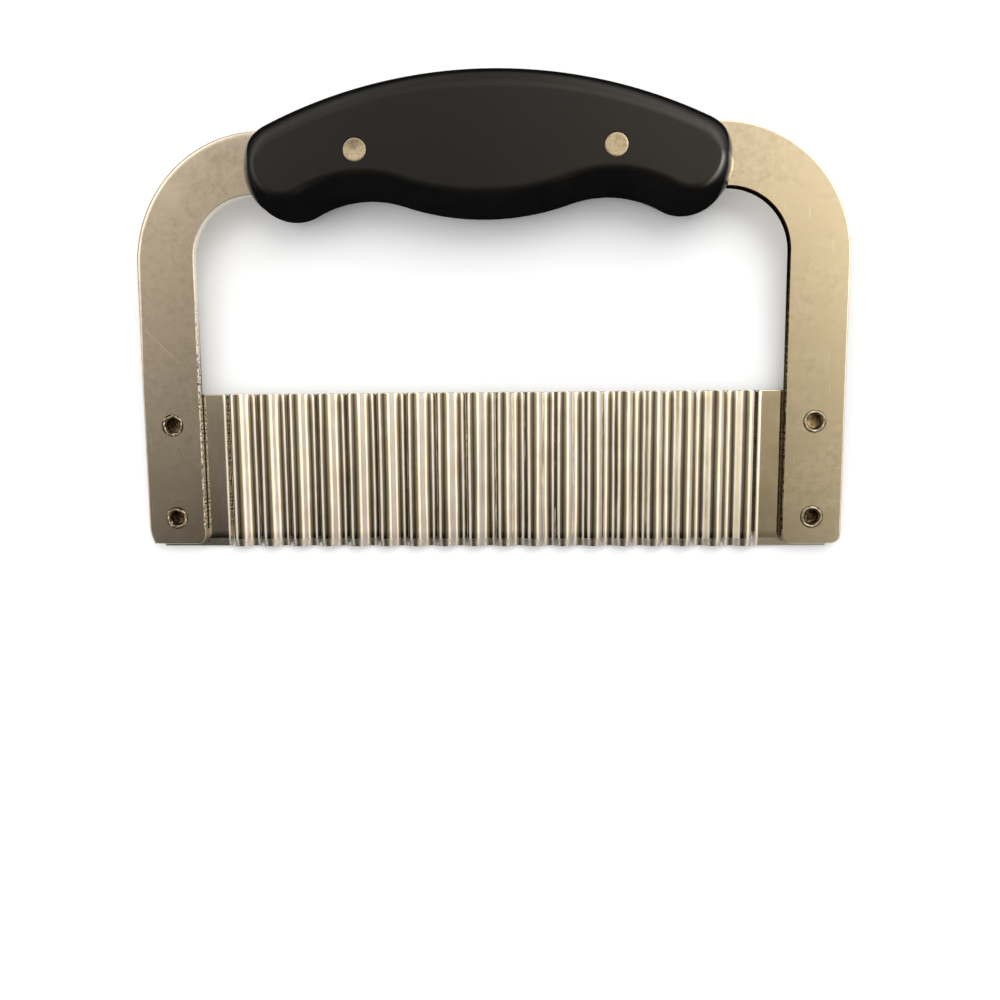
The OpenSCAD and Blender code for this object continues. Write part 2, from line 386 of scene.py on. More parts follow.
@dataclass(frozen=True)
class ShearedEdge(Finish):
    """The same stainless sheet where the die cut it: a burnished strip in front, torn grain behind.

    It gives the eye a thin line along the sheet's edge, that breaks into sparks and dark grains near the
    blade; the dark of the torn grain, behind and near the blade, is partly painted shade for the gap against
    the blade. One side of the window is painted lit and the other painted in shade, and the outside is worn
    nearly smooth.
    """

    name: str = "stainless_sheet_sheared_edge_bright"
    colours: Shades = ("F2EBDE", "2A221A")
    glance: str = "FFFFFF"
    roughness: Pair = (0.3, 0.42)
    grit_mm: Pair = (0.55, 0.7)
    gritty: Pair = (0.46, 0.58)
    relief_mm: float = 0.3
    burnish_z: Pair = (-0.55, -0.25)
    blade_shade_y: Pair = (70.0, 44.0)
    grain_and_shade_share: Pair = (0.15, 1.0)

    def surface(self, tree: Tree, place: Socket) -> dict[str, Input]:
        """Lays out the torn grain, behind and toward the blade, partly as painted shade.

        Args:
            tree: The material's nodes.
            place: Where a point lies on the piece.

        Returns:
            What the shader's inputs take.
        """
        along, deep = map(per, self.grit_mm)
        grit_place = add(tree, "Mapping", {"Vector": place, "Scale": (along, along, deep)})
        grit = add(tree, "TexNoise", {"Vector": grit_place, "Scale": 1.0, "Detail": 4.0, "Roughness": 0.7})
        grain = add(tree, "MapRange", {"Value": grit, "From": self.gritty})
        where = add(tree, "SeparateXYZ", {"Vector": place})
        # The second colour grows behind, where the grain is torn, and toward the blade. On the lit edge this
        # is painted shade for the gap against the tab; on the shaded edge the dark first colour is painted
        # shade above.
        back, front = (MID_Z + z * MM for z in self.burnish_z)
        behind = add(tree, "MapRange", {"Value": where.outputs["Z"], "From": (front, back)})
        torn = add(tree, "Math", {0: grain, 1: behind}, operation="MAXIMUM")
        handled = [EDGE_Y + y * MM for y in self.blade_shade_y]
        grain_and_shade_share = add(tree, "MapRange", {"Value": where.outputs["Y"], "From": handled, "To": self.grain_and_shade_share})
        dark = add(tree, "Math", {0: torn, 1: grain_and_shade_share}, operation="MULTIPLY")
        bump = add(tree, "Bump", {"Strength": grain_and_shade_share, "Distance": self.relief_mm * MM, "Height": grit})
        return {
            **self.toned(tree, dark), "Metallic": 1.0, "Specular Tint": linear(self.glance), "Normal": bump}


@dataclass(frozen=True)
class PolishedSheet(Finish):
    """Thin stainless sheet, bright polished and then pressed into waves.

    It gives the eye hard-edged bands of light and dark along each wave, that tremble where the press pulled
    the sheet, with drawing lines too fine to count.
    """

    name: str = "stainless_sheet_bright_polished"
    colours: Shades = ("D6D0C6", "C6BEB2")
    roughness: Pair = (0.02, 0.06)
    haze_mm: float = 9.0
    hazed: Pair = (0.36, 0.68)
    pull_mm: Pair = (2.4, 7.0)
    pull_depth_mm: float = 0.12
    line_mm: Pair = (0.2, 26.0)
    line_depth_mm: float = 0.012

    def surface(self, tree: Tree, place: Socket) -> dict[str, Input]:
        """Lays out haze, pulls and drawing lines.

        Args:
            tree: The material's nodes.
            place: Where a point lies on the piece.

        Returns:
            What the shader's inputs take.
        """
        haze = add(tree, "TexNoise", {
            "Vector": place, "Scale": per(self.haze_mm), "Detail": 5.0, "Roughness": 0.65})
        veil = add(tree, "MapRange", {"Value": haze, "From": self.hazed})
        wide, tall = map(per, self.pull_mm)
        pull_place = add(tree, "Mapping", {"Vector": place, "Scale": (wide, tall, wide)})
        pull = add(tree, "TexNoise", {"Vector": pull_place, "Scale": 1.0, "Detail": 2.0})
        pulled = add(tree, "Bump", {"Strength": 0.25, "Distance": self.pull_depth_mm * MM, "Height": pull})
        thin, long = map(per, self.line_mm)
        line_place = add(tree, "Mapping", {"Vector": place, "Scale": (thin, long, thin)})
        lines = add(tree, "TexNoise", {"Vector": line_place, "Scale": 1.0, "Detail": 2.0})
        drawn = add(tree, "Bump", {
            "Strength": 0.3, "Distance": self.line_depth_mm * MM, "Height": lines, "Normal": pulled})
        return {**self.toned(tree, veil), "Metallic": 1.0, "Normal": drawn}


@dataclass(frozen=True)
class GroundEdge(Finish):
    """The blade's cutting bevel, ground across the edge on a belt.

    It gives the eye a matt silver strip with short upright lines.
    """

    name: str = "stainless_sheet_belt_ground"
    colours: Shades = ("DAD6CF", "A9A39A")
    roughness: Pair = (0.24, 0.38)
    line_mm: Pair = (0.14, 2.6)
    line_depth_mm: float = 0.02
    lined: Pair = (0.35, 0.68)

    def surface(self, tree: Tree, place: Socket) -> dict[str, Input]:
        """Lays out the grinding lines.

        Args:
            tree: The material's nodes.
            place: Where a point lies on the piece.

        Returns:
            What the shader's inputs take.
        """
        thin, long = map(per, self.line_mm)
        line_place = add(tree, "Mapping", {"Vector": place, "Scale": (thin, long, thin)})
        lines = add(tree, "TexNoise", {"Vector": line_place, "Scale": 1.0, "Detail": 3.0})
        tone = add(tree, "MapRange", {"Value": lines, "From": self.lined})
        bump = add(tree, "Bump", {"Strength": 0.5, "Distance": self.line_depth_mm * MM, "Height": lines})
        return {**self.toned(tree, tone), "Metallic": 1.0, "Normal": bump}


@dataclass(frozen=True)
class RivetMetal(Finish):
    """Nickel-plated steel, tumbled, then rolled or pressed in setting.

    It gives the eye a worn shine, with scuffs and grains of dirt; the inside of a bore is duller and browner.
    """

    name: str
    colours: Shades
    roughness: Pair
    scuff_mm: float = 0.9
    dirt: Pair = (0.42, 0.72)
    relief_mm: float = 0.04

    def surface(self, tree: Tree, place: Socket) -> dict[str, Input]:
        """Lays out scuffs and dirt.

        Args:
            tree: The material's nodes.
            place: Where a point lies on the piece.

        Returns:
            What the shader's inputs take.
        """
        scuffs = add(tree, "TexNoise", {
            "Vector": place, "Scale": per(self.scuff_mm), "Detail": 6.0, "Roughness": 0.7, "Distortion": 0.5})
        dirt = add(tree, "MapRange", {"Value": scuffs, "From": self.dirt})
        bump = add(tree, "Bump", {"Strength": 0.35, "Distance": self.relief_mm * MM, "Height": scuffs})
        return {**self.toned(tree, dirt), "Metallic": 1.0, "Normal": bump}


@dataclass(frozen=True)
class MouldedPlastic(Finish):
    """Black polypropylene, injection moulded in a finely sparked mould and rubbed by hands.

    It gives the eye a charcoal satin with a faint grain, a little greyer where it was rubbed. The face and
    the crown keep the full gloss; it is taken off faces that look down, as painted shade that keeps the
    underside dark, and raised on the right end's edge as a painted highlight. The upright ends keep a gloss,
    and low on the right end a painted highlight, glossier and tinted warm, mirrors the bar at low angles.
    """

    name: str = "polypropylene_moulded_satin_black"
    colours: Shades = ("0E0D0D", "141312")
    roughness: Pair = (0.34, 0.25)
    ior: float = 1.49
    spark_mm: float = 0.45
    spark_depth_mm: float = 0.05
    rub_mm: float = 11.0
    rubbed: Pair = (0.36, 0.7)
    sheen: Pair = (0.37, 0.0)
    sheen_fades: Pair = (0.16, 0.5)
    shaded_underside: Pair = (-0.55, -0.1)
    edge_highlight_begins: Pair = (0.1, 0.2)
    edge_highlight_ends: Pair = (0.56, 0.4)
    edge_highlight_low: Pair = (0.06, -0.04)
    edge_highlight_gain: float = 2.6
    ends: Pair = (0.66, 0.86)
    low_highlight_side: Pair = (0.6, 0.8)
    low_highlight_low: Pair = (-0.46, -0.38)
    low_highlight_graze: Pair = (0.46, 0.66)
    low_highlight_gain: float = 7.0
    low_highlight_rough: float = 0.12
    low_highlight_tints: Shades = ("FFFFFF", "FFF3E2")

    def surface(self, tree: Tree, place: Socket) -> dict[str, Input]:
        """Lays out spark grain, rubbed places and the gloss, with painted shade below and painted highlights
        on the right end.

        Args:
            tree: The material's nodes.
            place: Where a point lies on the piece.

        Returns:
            What the shader's inputs take.
        """
        # Spark grain is about 0.1 mm in the mould and is drawn coarser, so that it shows.
        spark = add(tree, "TexNoise", {
            "Vector": place, "Scale": per(self.spark_mm), "Detail": 3.0, "Roughness": 0.6})
        bump = add(tree, "Bump", {"Strength": 0.22, "Distance": self.spark_depth_mm * MM, "Height": spark})
        rub = add(tree, "TexNoise", {
            "Vector": place, "Scale": per(self.rub_mm), "Detail": 6.0, "Roughness": 0.66})
        look = self.toned(tree, add(tree, "MapRange", {"Value": rub, "From": self.rubbed}))
        facing = add(tree, "LayerWeight", {"Blend": 0.5}).outputs["Facing"]
        way = add(tree, "SeparateXYZ", {"Vector": add(tree, "TexCoord", {}).outputs["Normal"]})
        right, up = way.outputs["X"], way.outputs["Y"]
        # The grain stands in its own way at low angles, so the satin fades toward the sides.
        fade = add(tree, "MapRange", {"Value": facing, "From": self.sheen_fades, "To": self.sheen})
        # Painted shade: faces that look down lose their gloss, so the underside stays dark.
        polish = add(tree, "MapRange", {"Value": up, "From": self.shaded_underside}, interpolation_type="SMOOTHSTEP")
        satin = add(tree, "Math", {0: fade, 1: polish}, operation="MULTIPLY")
        # Painted highlight: the gloss of the right end's edge is raised, where light from the right falls on
        # it.
        right_end_highlight = within(tree, [(right, self.edge_highlight_begins), (right, self.edge_highlight_ends), (up, self.edge_highlight_low)])
        gain = add(tree, "Math", {0: right_end_highlight, 1: self.edge_highlight_gain, 2: 1.0}, operation="MULTIPLY_ADD")
        handled = add(tree, "Math", {0: satin, 1: gain}, operation="MULTIPLY")
        outward = add(tree, "Math", {0: right}, operation="ABSOLUTE")
        upright = add(tree, "MapRange", {"Value": outward, "From": self.ends})
        sheen = add(tree, "Math", {0: handled, 1: upright}, operation="MAXIMUM")
        # Painted highlight: low on the right end's outer wall the gloss is raised sharply, made smoother and
        # tinted warm, to show a bright band there.
        worn = within(tree, [
            (right, self.low_highlight_side), (up, self.edge_highlight_low), (up, self.low_highlight_low),
            (facing, self.low_highlight_graze)])
        gloss = add(tree, "Math", {0: worn, 1: self.low_highlight_gain, 2: sheen}, operation="MULTIPLY_ADD")
        rough = add(tree, "MapRange", {
            "Value": worn, "To Min": look["Roughness"], "To Max": self.low_highlight_rough})
        plain, warm = map(linear, self.low_highlight_tints)
        tint = add(tree, "Mix", {"Factor": worn, "A": plain, "B": warm}, data_type="RGBA")
        return {
            "Base Color": look["Base Color"], "Roughness": rough, "IOR": self.ior,
            "Specular IOR Level": gloss, "Specular Tint": tint, "Normal": bump}


@dataclass(frozen=True)
class MattPaper(Finish):
    """Uncoated white paper under the tool. It gives the eye an even white."""

    name: str = "paper_matt_white"
    colours: Shades = ("FCFCFB", "FAFAF9")
    roughness: Pair = (0.9, 0.9)
    cloud_mm: float = 120.0

    def surface(self, tree: Tree, place: Socket) -> dict[str, Input]:
        """Lays out the faint clouds of the pulp."""
        cloud = add(tree, "TexNoise", {"Vector": place, "Scale": per(self.cloud_mm), "Detail": 3.0})
        return {**self.toned(tree, cloud), "Specular IOR Level": 0.0}


def even_shading(piece: bpy.types.Object) -> None:
    """Shades rounded faces smoothly and keeps flat ones flat.

    Args:
        piece: A piece of the tool.
    """
    piece.data.shade_smooth()
    work = bmesh.new()
    work.from_mesh(piece.data)
    limit = math.radians(SHARP_ANGLE)
    sharp = [edge.is_manifold and edge.calc_face_angle() > limit for edge in work.edges]
    work.free()
    attribute = piece.data.attributes.get("sharp_edge") or piece.data.attributes.new(
        "sharp_edge", "BOOLEAN", "EDGE")
    attribute.data.foreach_set("value", sharp)
    even = piece.modifiers.new("even_normals", "WEIGHTED_NORMAL")
    even.keep_sharp = True
    even.weight = FLAT_WEIGHT


@dataclass
class Shell:
    """A closed mesh in the making, in the tool's millimetres."""

    name: str
    points: list[Point] = field(default_factory=list)
    faces: list[tuple[int, ...]] = field(default_factory=list)
    finish: list[int] = field(default_factory=list)

    def ring(self, points: Iterable[Point]) -> list[int]:
        """Adds a ring of points.

        Args:
            points: The points in order.

        Returns:
            Their numbers.
        """
        first = len(self.points)
        self.points.extend(points)
        return list(range(first, len(self.points)))

    def bridge(self, low: Sequence[int], high: Sequence[int], finish: int = 0) -> None:
        """Joins two rings of equally many points.

        Args:
            low: The first ring.
            high: The second ring.
            finish: Number of the material.
        """
        for i, corner in enumerate(low):
            j = (i + 1) % len(low)
            self.faces.append((corner, low[j], high[j], high[i]))
            self.finish.append(finish)

    def loft(self, rings: Sequence[Sequence[int]], finish: int = 0) -> None:
        """Joins each ring to the next one."""
        for low, high in zip(rings, rings[1:]):
            self.bridge(low, high, finish)

    def cap(self, rings: Sequence[Sequence[int]]) -> None:
        """Fills a flat outline.

        Args:
            rings: The outline, and then the holes in it.
        """
        numbers = [i for ring in rings for i in ring]
        loops = [[Vector((*self.points[i][:2], 0.0)) for i in ring] for ring in rings]
        for triangle in tessellate_polygon(loops):
            self.fan([numbers[i] for i in triangle])

    def fan(self, ring: Sequence[int], finish: int = 0) -> None:
        """Closes a ring by one face."""
        self.faces.append(tuple(ring))
        self.finish.append(finish)

    def build(self, node: str, slot: str, *finishes: Finish) -> None:
        """Makes the piece, which stands for a node of the part.

        Args:
            node: The node that it replaces.
            slot: The record's material slot; not used.
            *finishes: The finishes that the faces name by number.
        """
        mesh = bpy.data.meshes.new(self.name)
        mesh.from_pydata([in_frame(*p) for p in self.points], [], self.faces)
        for finish in finishes:
            mesh.materials.append(finish.material())
        mesh.polygons.foreach_set("material_index", self.finish)
        work = bmesh.new()
        work.from_mesh(mesh)
        bmesh.ops.recalc_face_normals(work, faces=work.faces)
        work.to_mesh(mesh)
        work.free()
        piece = put(self.name, mesh)
        even_shading(piece)
        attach(piece, BODY)
        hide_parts(node)
        LOG.info("%s stands for %s: %d faces", self.name, node, len(mesh.polygons))


@dataclass(frozen=True)
class Station:
    """A point on an outline, with the way out of the sheet there and the width of its rolled edge."""

    x: float
    y: float
    out_x: float
    out_y: float
    roll: float

    def moved(self, inset: float) -> Pair:
        """The point drawn in by an inset."""
        return (self.x - self.out_x * inset, self.y - self.out_y * inset)


def along_line(x0: float, y0: float, x1: float, y1: float, roll: float, step: float = 1.5) -> list[Station]:
    """Stations on a straight edge.

    Args:
        x0: Start of the edge.
        y0: Start of the edge.
        x1: End of the edge, which is left to the edge that follows.
        y1: End of the edge.
        roll: Width of the rolled edge.
        step: Longest distance between stations.

    Returns:
        The stations, with the sheet on the left hand.
    """
    length = math.hypot(x1 - x0, y1 - y0)
    count = max(1, math.ceil(length / step))
    out = ((y1 - y0) / length, (x0 - x1) / length)
    return [Station(x0 + (x1 - x0) * i / count, y0 + (y1 - y0) * i / count, *out, roll) for i in range(count)]


def along_arc(x: float, y: float, radius: float, start: float, end: float, roll: float = 0.0,
              step: float = 3.0) -> list[Station]:
    """Stations on a round corner.

    Args:
        x: Centre of the corner.
        y: Centre of the corner.
        radius: Radius of the corner.
        start: First angle in degrees.
        end: Last angle, left to the edge that follows. Below the first one the corner is hollow.
        roll: Width of the rolled edge.
        step: Largest turn between stations, in degrees.

    Returns:
        The stations, with the sheet on the left hand.
    """
    count = math.ceil(abs(end - start) / step)
    way = 1 if end > start else -1
    stations = []
    for i in range(count):
        angle = math.radians(start + (end - start) * i / count)
        c, s = math.cos(angle), math.sin(angle)
        stations.append(Station(x + radius * c, y + radius * s, way * c, way * s, roll))
    return stations


def rounded(shell: Shell, stations: Sequence[Station], sections: Sequence[Sequence[Pair]],
            out: int = 1) -> list[list[int]]:
    """Lays rings round an outline and joins them.

    Args:
        shell: The mesh that takes the rings.
        stations: The outline.
        sections: The insets and heights of the edge at each station.
        out: Which way the heights go.

    Returns:
        The rings, one for each level of the edge.
    """
    rings = [
        shell.ring((*station.moved(inset), out * z) for station, (inset, z) in zip(stations, level))
        for level in zip(*sections)]
    shell.loft(rings)
    return rings


@dataclass
class Layout:
    """Sizes that more than one piece shares."""

    bow_w: float = 178.0
    leg_w: float = 14.8
    bar_w: float = 15.5
    bow_t: float = 2.0
    foot_rise: float = 0.8
    bow_h: float = 103.4
    blade_h: float = 39.6
    blade_t: float = 0.6
    rivet_d: float = 4.6
    rivet_flare: float = 0.8
    rivet_rows: Pair = (7.6, 31.6)
    grip_rivet_x: float = 31.0
    grip_rivet_d: float = 4.2
    scale_t: float = 8.5
    fit: float = 0.05

    @property
    def front(self) -> float:
        """Front face of the bow."""
        return self.bow_t / 2

    @property
    def window_half(self) -> float:
        """Half of the width between the legs."""
        return self.bow_w / 2 - self.leg_w

    @property
    def bar_top(self) -> float:
        """Top of the bar."""
        return self.foot_rise + self.bow_h

    @property
    def bar_low(self) -> float:
        """Lower edge of the bar."""
        return self.bar_top - self.bar_w

    @property
    def bar_mid(self) -> float:
        """Middle of the bar."""
        return self.bar_top - self.bar_w / 2

    @property
    def rivet_x(self) -> float:
        """Middle of a leg."""
        return (self.bow_w - self.leg_w) / 2

    @property
    def blade_back(self) -> float:
        """Back face of the blade's tabs."""
        return -self.front - self.blade_t


@dataclass
class Bow:
    """The stamped frame: two legs and a bar, with a rolled front edge and sheared sides."""

    layout: Layout
    outer_r: float = 32.5
    inner_r: float = 15.5
    foot_r: float = 2.3
    foot_step: float = 10.0
    worn_r: float = 10.0
    worn_h: float = 4.8
    outer_roll: float = 0.45
    shoulder_roll: float = 1.5
    shoulder_y: Pair = (40.0, 85.0)
    inner_roll: float = 0.3
    roll_share: float = 0.5
    roll_steps: int = 5
    burr: float = 0.15
    burr_round: float = 0.3
    sheared_levels: int = 4
    flare_r: float = 2.84
    hole_sides: int = 48

    def outline(self) -> list[Station]:
        """Lays stations round the sheet.

        Returns:
            The stations, from the outer corner of the left foot along the feet and the window.
        """
        lay = self.layout
        half, inner, foot, top, low = lay.bow_w / 2, lay.window_half, lay.foot_rise, lay.bar_top, lay.bar_low
        r, worn_a = self.foot_r, math.degrees(math.asin(self.worn_h / self.worn_r))
        worn_x = self.worn_r - half - self.worn_r * math.cos(math.radians(worn_a))
        soft, hard, step = self.outer_roll, self.inner_roll, self.foot_step
        window, under = inner - self.inner_r, low - self.inner_r
        shoulder, below = half - self.outer_r, top - self.outer_r
        stations = [
            *along_line(worn_x, foot, -inner - r, foot, hard),
            *along_arc(-inner - r, foot + r, r, -90, 0, hard, step),
            *along_line(-inner, foot + r, -inner, under, hard),
            *along_arc(-window, under, self.inner_r, 180, 90, hard),
            *along_line(-window, low, window, low, hard),
            *along_arc(window, under, self.inner_r, 90, 0, hard),
            *along_line(inner, under, inner, foot + r, hard),
            *along_arc(inner + r, foot + r, r, 180, 270, hard, step),
            *along_line(inner + r, foot, half - r, foot, hard),
            *along_arc(half - r, foot + r, r, -90, 0, soft, step),
            *along_line(half, foot + r, half, below, soft),
            *along_arc(shoulder, below, self.outer_r, 0, 90, soft),
            *along_line(shoulder, top, -shoulder, top, soft),
            *along_arc(-shoulder, below, self.outer_r, 90, 180, soft),
            *along_line(-half, below, -half, foot + self.worn_h, soft),
            *along_arc(self.worn_r - half, foot + self.worn_h, self.worn_r, 180, 180 + worn_a, soft)]
        return [replace(s, roll=self.left_roll(s.y)) if s.roll == soft and s.x < 0 else s for s in stations]

    def left_roll(self, y: float) -> float:
        """Width of the rolled edge on the left, which grows toward the shoulder."""
        return self.outer_roll + (self.shoulder_roll - self.outer_roll) * share_of(y, *self.shoulder_y)

    def edge(self, roll: float) -> list[Pair]:
        """Draws the section of the sheet's edge.

        Args:
            roll: Width of the rolled front edge.

        Returns:
            Insets and heights, from the back face to the front face.
        """
        front, drop, bead = self.layout.front, roll * self.roll_share, self.burr_round * self.burr
        quarter = [math.pi / 2 * i / self.roll_steps for i in range(self.roll_steps + 1)]
        return [
            (self.burr, -front), (bead, bead - front), (0.0, self.burr - front),
            *((roll * (1 - math.cos(a)), front - drop * (1 - math.sin(a))) for a in quarter)]

    def edge_finish(self, level: int, station: Station) -> Sheet:
        """Chooses the finish of a level of the edge.

        Args:
            level: Number of the level, from the back.
            station: Where on the outline.

        Returns:
            The finish.
        """
        if station.roll == self.inner_roll and station.y > self.layout.foot_rise + self.foot_r:
            # The window's left inner edge is a painted-lit copy of the sheared edge, its right one a
            # painted-shade copy.
            return Sheet.BRIGHT if station.x < 0 else Sheet.BROWNED
        return Sheet.HANDLED if level < self.sheared_levels else Sheet.SATIN

    def holes(self) -> list[tuple[float, float, list[Pair]]]:
        """Lists the rivet holes.

        Returns:
            The middle of each hole, and its heights and radii from the back to the front.
        """
        lay = self.layout
        shank, sleeve = lay.rivet_d / 2 + lay.fit, lay.grip_rivet_d / 2 + lay.fit
        flared = [(-lay.front, shank), (lay.front - lay.rivet_flare, shank), (lay.front, self.flare_r)]
        straight = [(-lay.front, sleeve), (lay.front, sleeve)]
        return [
            *((side.value * lay.rivet_x, y, flared) for side in Side for y in lay.rivet_rows),
            *((side.value * lay.grip_rivet_x, lay.bar_mid, straight) for side in Side)]

    def build(self) -> None:
        """Builds the bow and dresses it."""
        shell, stations = Shell("bow_sheet"), self.outline()
        rings = rounded(shell, stations, [self.edge(station.roll) for station in stations])
        shell.finish = [
            self.edge_finish(level, station).value for level in range(len(rings) - 1) for station in stations]
        back, front = [rings[0]], [rings[-1]]
        for x, y, levels in self.holes():
            walls = [shell.ring(circle(x, y, z, radius, self.hole_sides)) for z, radius in levels]
            # The hole walls take the painted-shade edge, for the dark gap round each rivet.
            shell.loft(walls, Sheet.BROWNED.value)
            back.append(walls[0])
            front.append(walls[-1])
        shell.cap(back)
        shell.cap(front)
        # Painted shade: a very dark edge, with a dark glance tint that damps its reflections.
        shaded_edge_finish = ShearedEdge(
            "stainless_sheet_sheared_edge_browned", ("1C150F", "8E806B"), "2A221A", burnish_z=(-0.8, -0.35))
        handled = ShearedEdge(
            "stainless_sheet_sheared_edge_handled", ("D9D1C3", "2A221A"), grain_and_shade_share=(0.1, 0.25))
        shell.build("bow", "bow_steel", SatinSheet(), ShearedEdge(), shaded_edge_finish, handled)


@dataclass
class Blade:
    """The corrugated sheet, with a flat tab behind each leg and a ground edge."""

    layout: Layout
    pitch: float = 7.68
    depth: float = 1.7
    bend_share: float = 0.96
    waves: int = 18
    tab_inset: float = 3.0
    bevel_h: float = 2.0
    edge_t: float = 0.05
    top_round: float = 0.3
    top_steps: int = 6
    tab_steps: int = 8
    bend_steps: int = 7
    flank_steps: int = 3
    rows: int = 18
    sway: float = 0.1
    sway_mm: Pair = (4.6, 34.0)

    @property
    def bend_r(self) -> float:
        """Radius of the bends, a share of the one that would leave no straight flank."""
        return self.bend_share * (self.depth ** 2 + self.pitch ** 2 / 4) / (4 * self.depth)

    def flank(self) -> float:
        """Steepest slope of the waves, in radians."""
        over, run = 2 * self.bend_r - self.depth, self.pitch / 2
        return math.atan2(run, over) - math.acos(2 * self.bend_r / math.hypot(over, run))

    def half_wave(self) -> list[Point]:
        """Draws the sheet from the bottom of a trough to the top of the next crest.

        Returns:
            Runs, rises and slopes, the crest left out.
        """
        steep, r = self.flank(), self.bend_r
        bend = [steep * i / self.bend_steps for i in range(self.bend_steps + 1)]
        low = [(r * math.sin(a), r * (1 - math.cos(a)), a) for a in bend]
        high = [(self.pitch / 2 - x, self.depth - z, a) for x, z, a in reversed(low)]
        (x0, z0, _), (x1, z1, _) = low[-1], high[0]
        shares = [i / self.flank_steps for i in range(1, self.flank_steps)]
        straight = [(x0 + (x1 - x0) * s, z0 + (z1 - z0) * s, steep) for s in shares]
        return low + straight + high[:-1]

    def path(self) -> list[Point]:
        """Draws the middle of the sheet.

        Returns:
            Places across the tool, rises and slopes, from the left tab's end to the right one's.
        """
        rise = self.half_wave()
        start = -self.waves * self.pitch / 2
        end = self.layout.bow_w / 2 - self.tab_inset
        tab = [-end + (start + end) * i / self.tab_steps for i in range(self.tab_steps)]
        points = [(x, 0.0, 0.0) for x in tab]
        for k in range(self.waves):
            x0 = start + k * self.pitch
            points += [(x0 + x, z, a) for x, z, a in rise]
            points.append((x0 + self.pitch / 2, self.depth, 0.0))
            points += [(x0 + self.pitch - x, z, -a) for x, z, a in reversed(rise[1:])]
        return points + [(-start, 0.0, 0.0)] + [(-x, 0.0, 0.0) for x in reversed(tab)]

    def section(self) -> list[tuple[float, float, int]]:
        """Draws a strip across the sheet: up the front, over the top and down the back.

        Returns:
            Distances from the middle of the sheet, heights and numbers of the finish.
        """
        half, top = self.layout.blade_t / 2, self.layout.blade_h - self.top_round
        heights = [self.bevel_h + (top - self.bevel_h) * i / self.rows for i in range(self.rows + 1)]
        dome = [math.pi * i / self.top_steps for i in range(1, self.top_steps)]
        return [
            (self.edge_t / 2, 0.0, 1), *((half, h, 0) for h in heights),
            *((half * math.cos(a), top + self.top_round * math.sin(a), 0) for a in dome),
            *((-half, h, 0) for h in reversed(heights[1:])),
            (-half, self.bevel_h, 1), (-self.edge_t / 2, 0.0, 1)]

    def build(self) -> None:
        """Builds the blade and dresses it."""
        shell, section = Shell("blade_sheet"), self.section()
        middle = -self.layout.front - self.layout.blade_t / 2
        reach = self.waves * self.pitch / 2
        wide, tall = self.sway_mm
        rings = []
        for x, rise, slope in self.path():
            free = self.sway * share_of(abs(x), reach, reach - self.pitch)
            ring = []
            for side, height, _ in section:
                sway = free * noise.noise(Vector((x / wide, height / tall, 0.0)))
                ring.append((x - side * math.sin(slope) + sway, height,
                             middle + rise + side * math.cos(slope) - abs(sway)))
            rings.append(shell.ring(ring))
        shell.loft(rings)
        shell.finish = [finish for _ in rings[1:] for _, _, finish in section]
        for end in (rings[0], rings[-1]):
            shell.fan(end)
        shell.build("blade", "blade_steel", PolishedSheet(), GroundEdge())


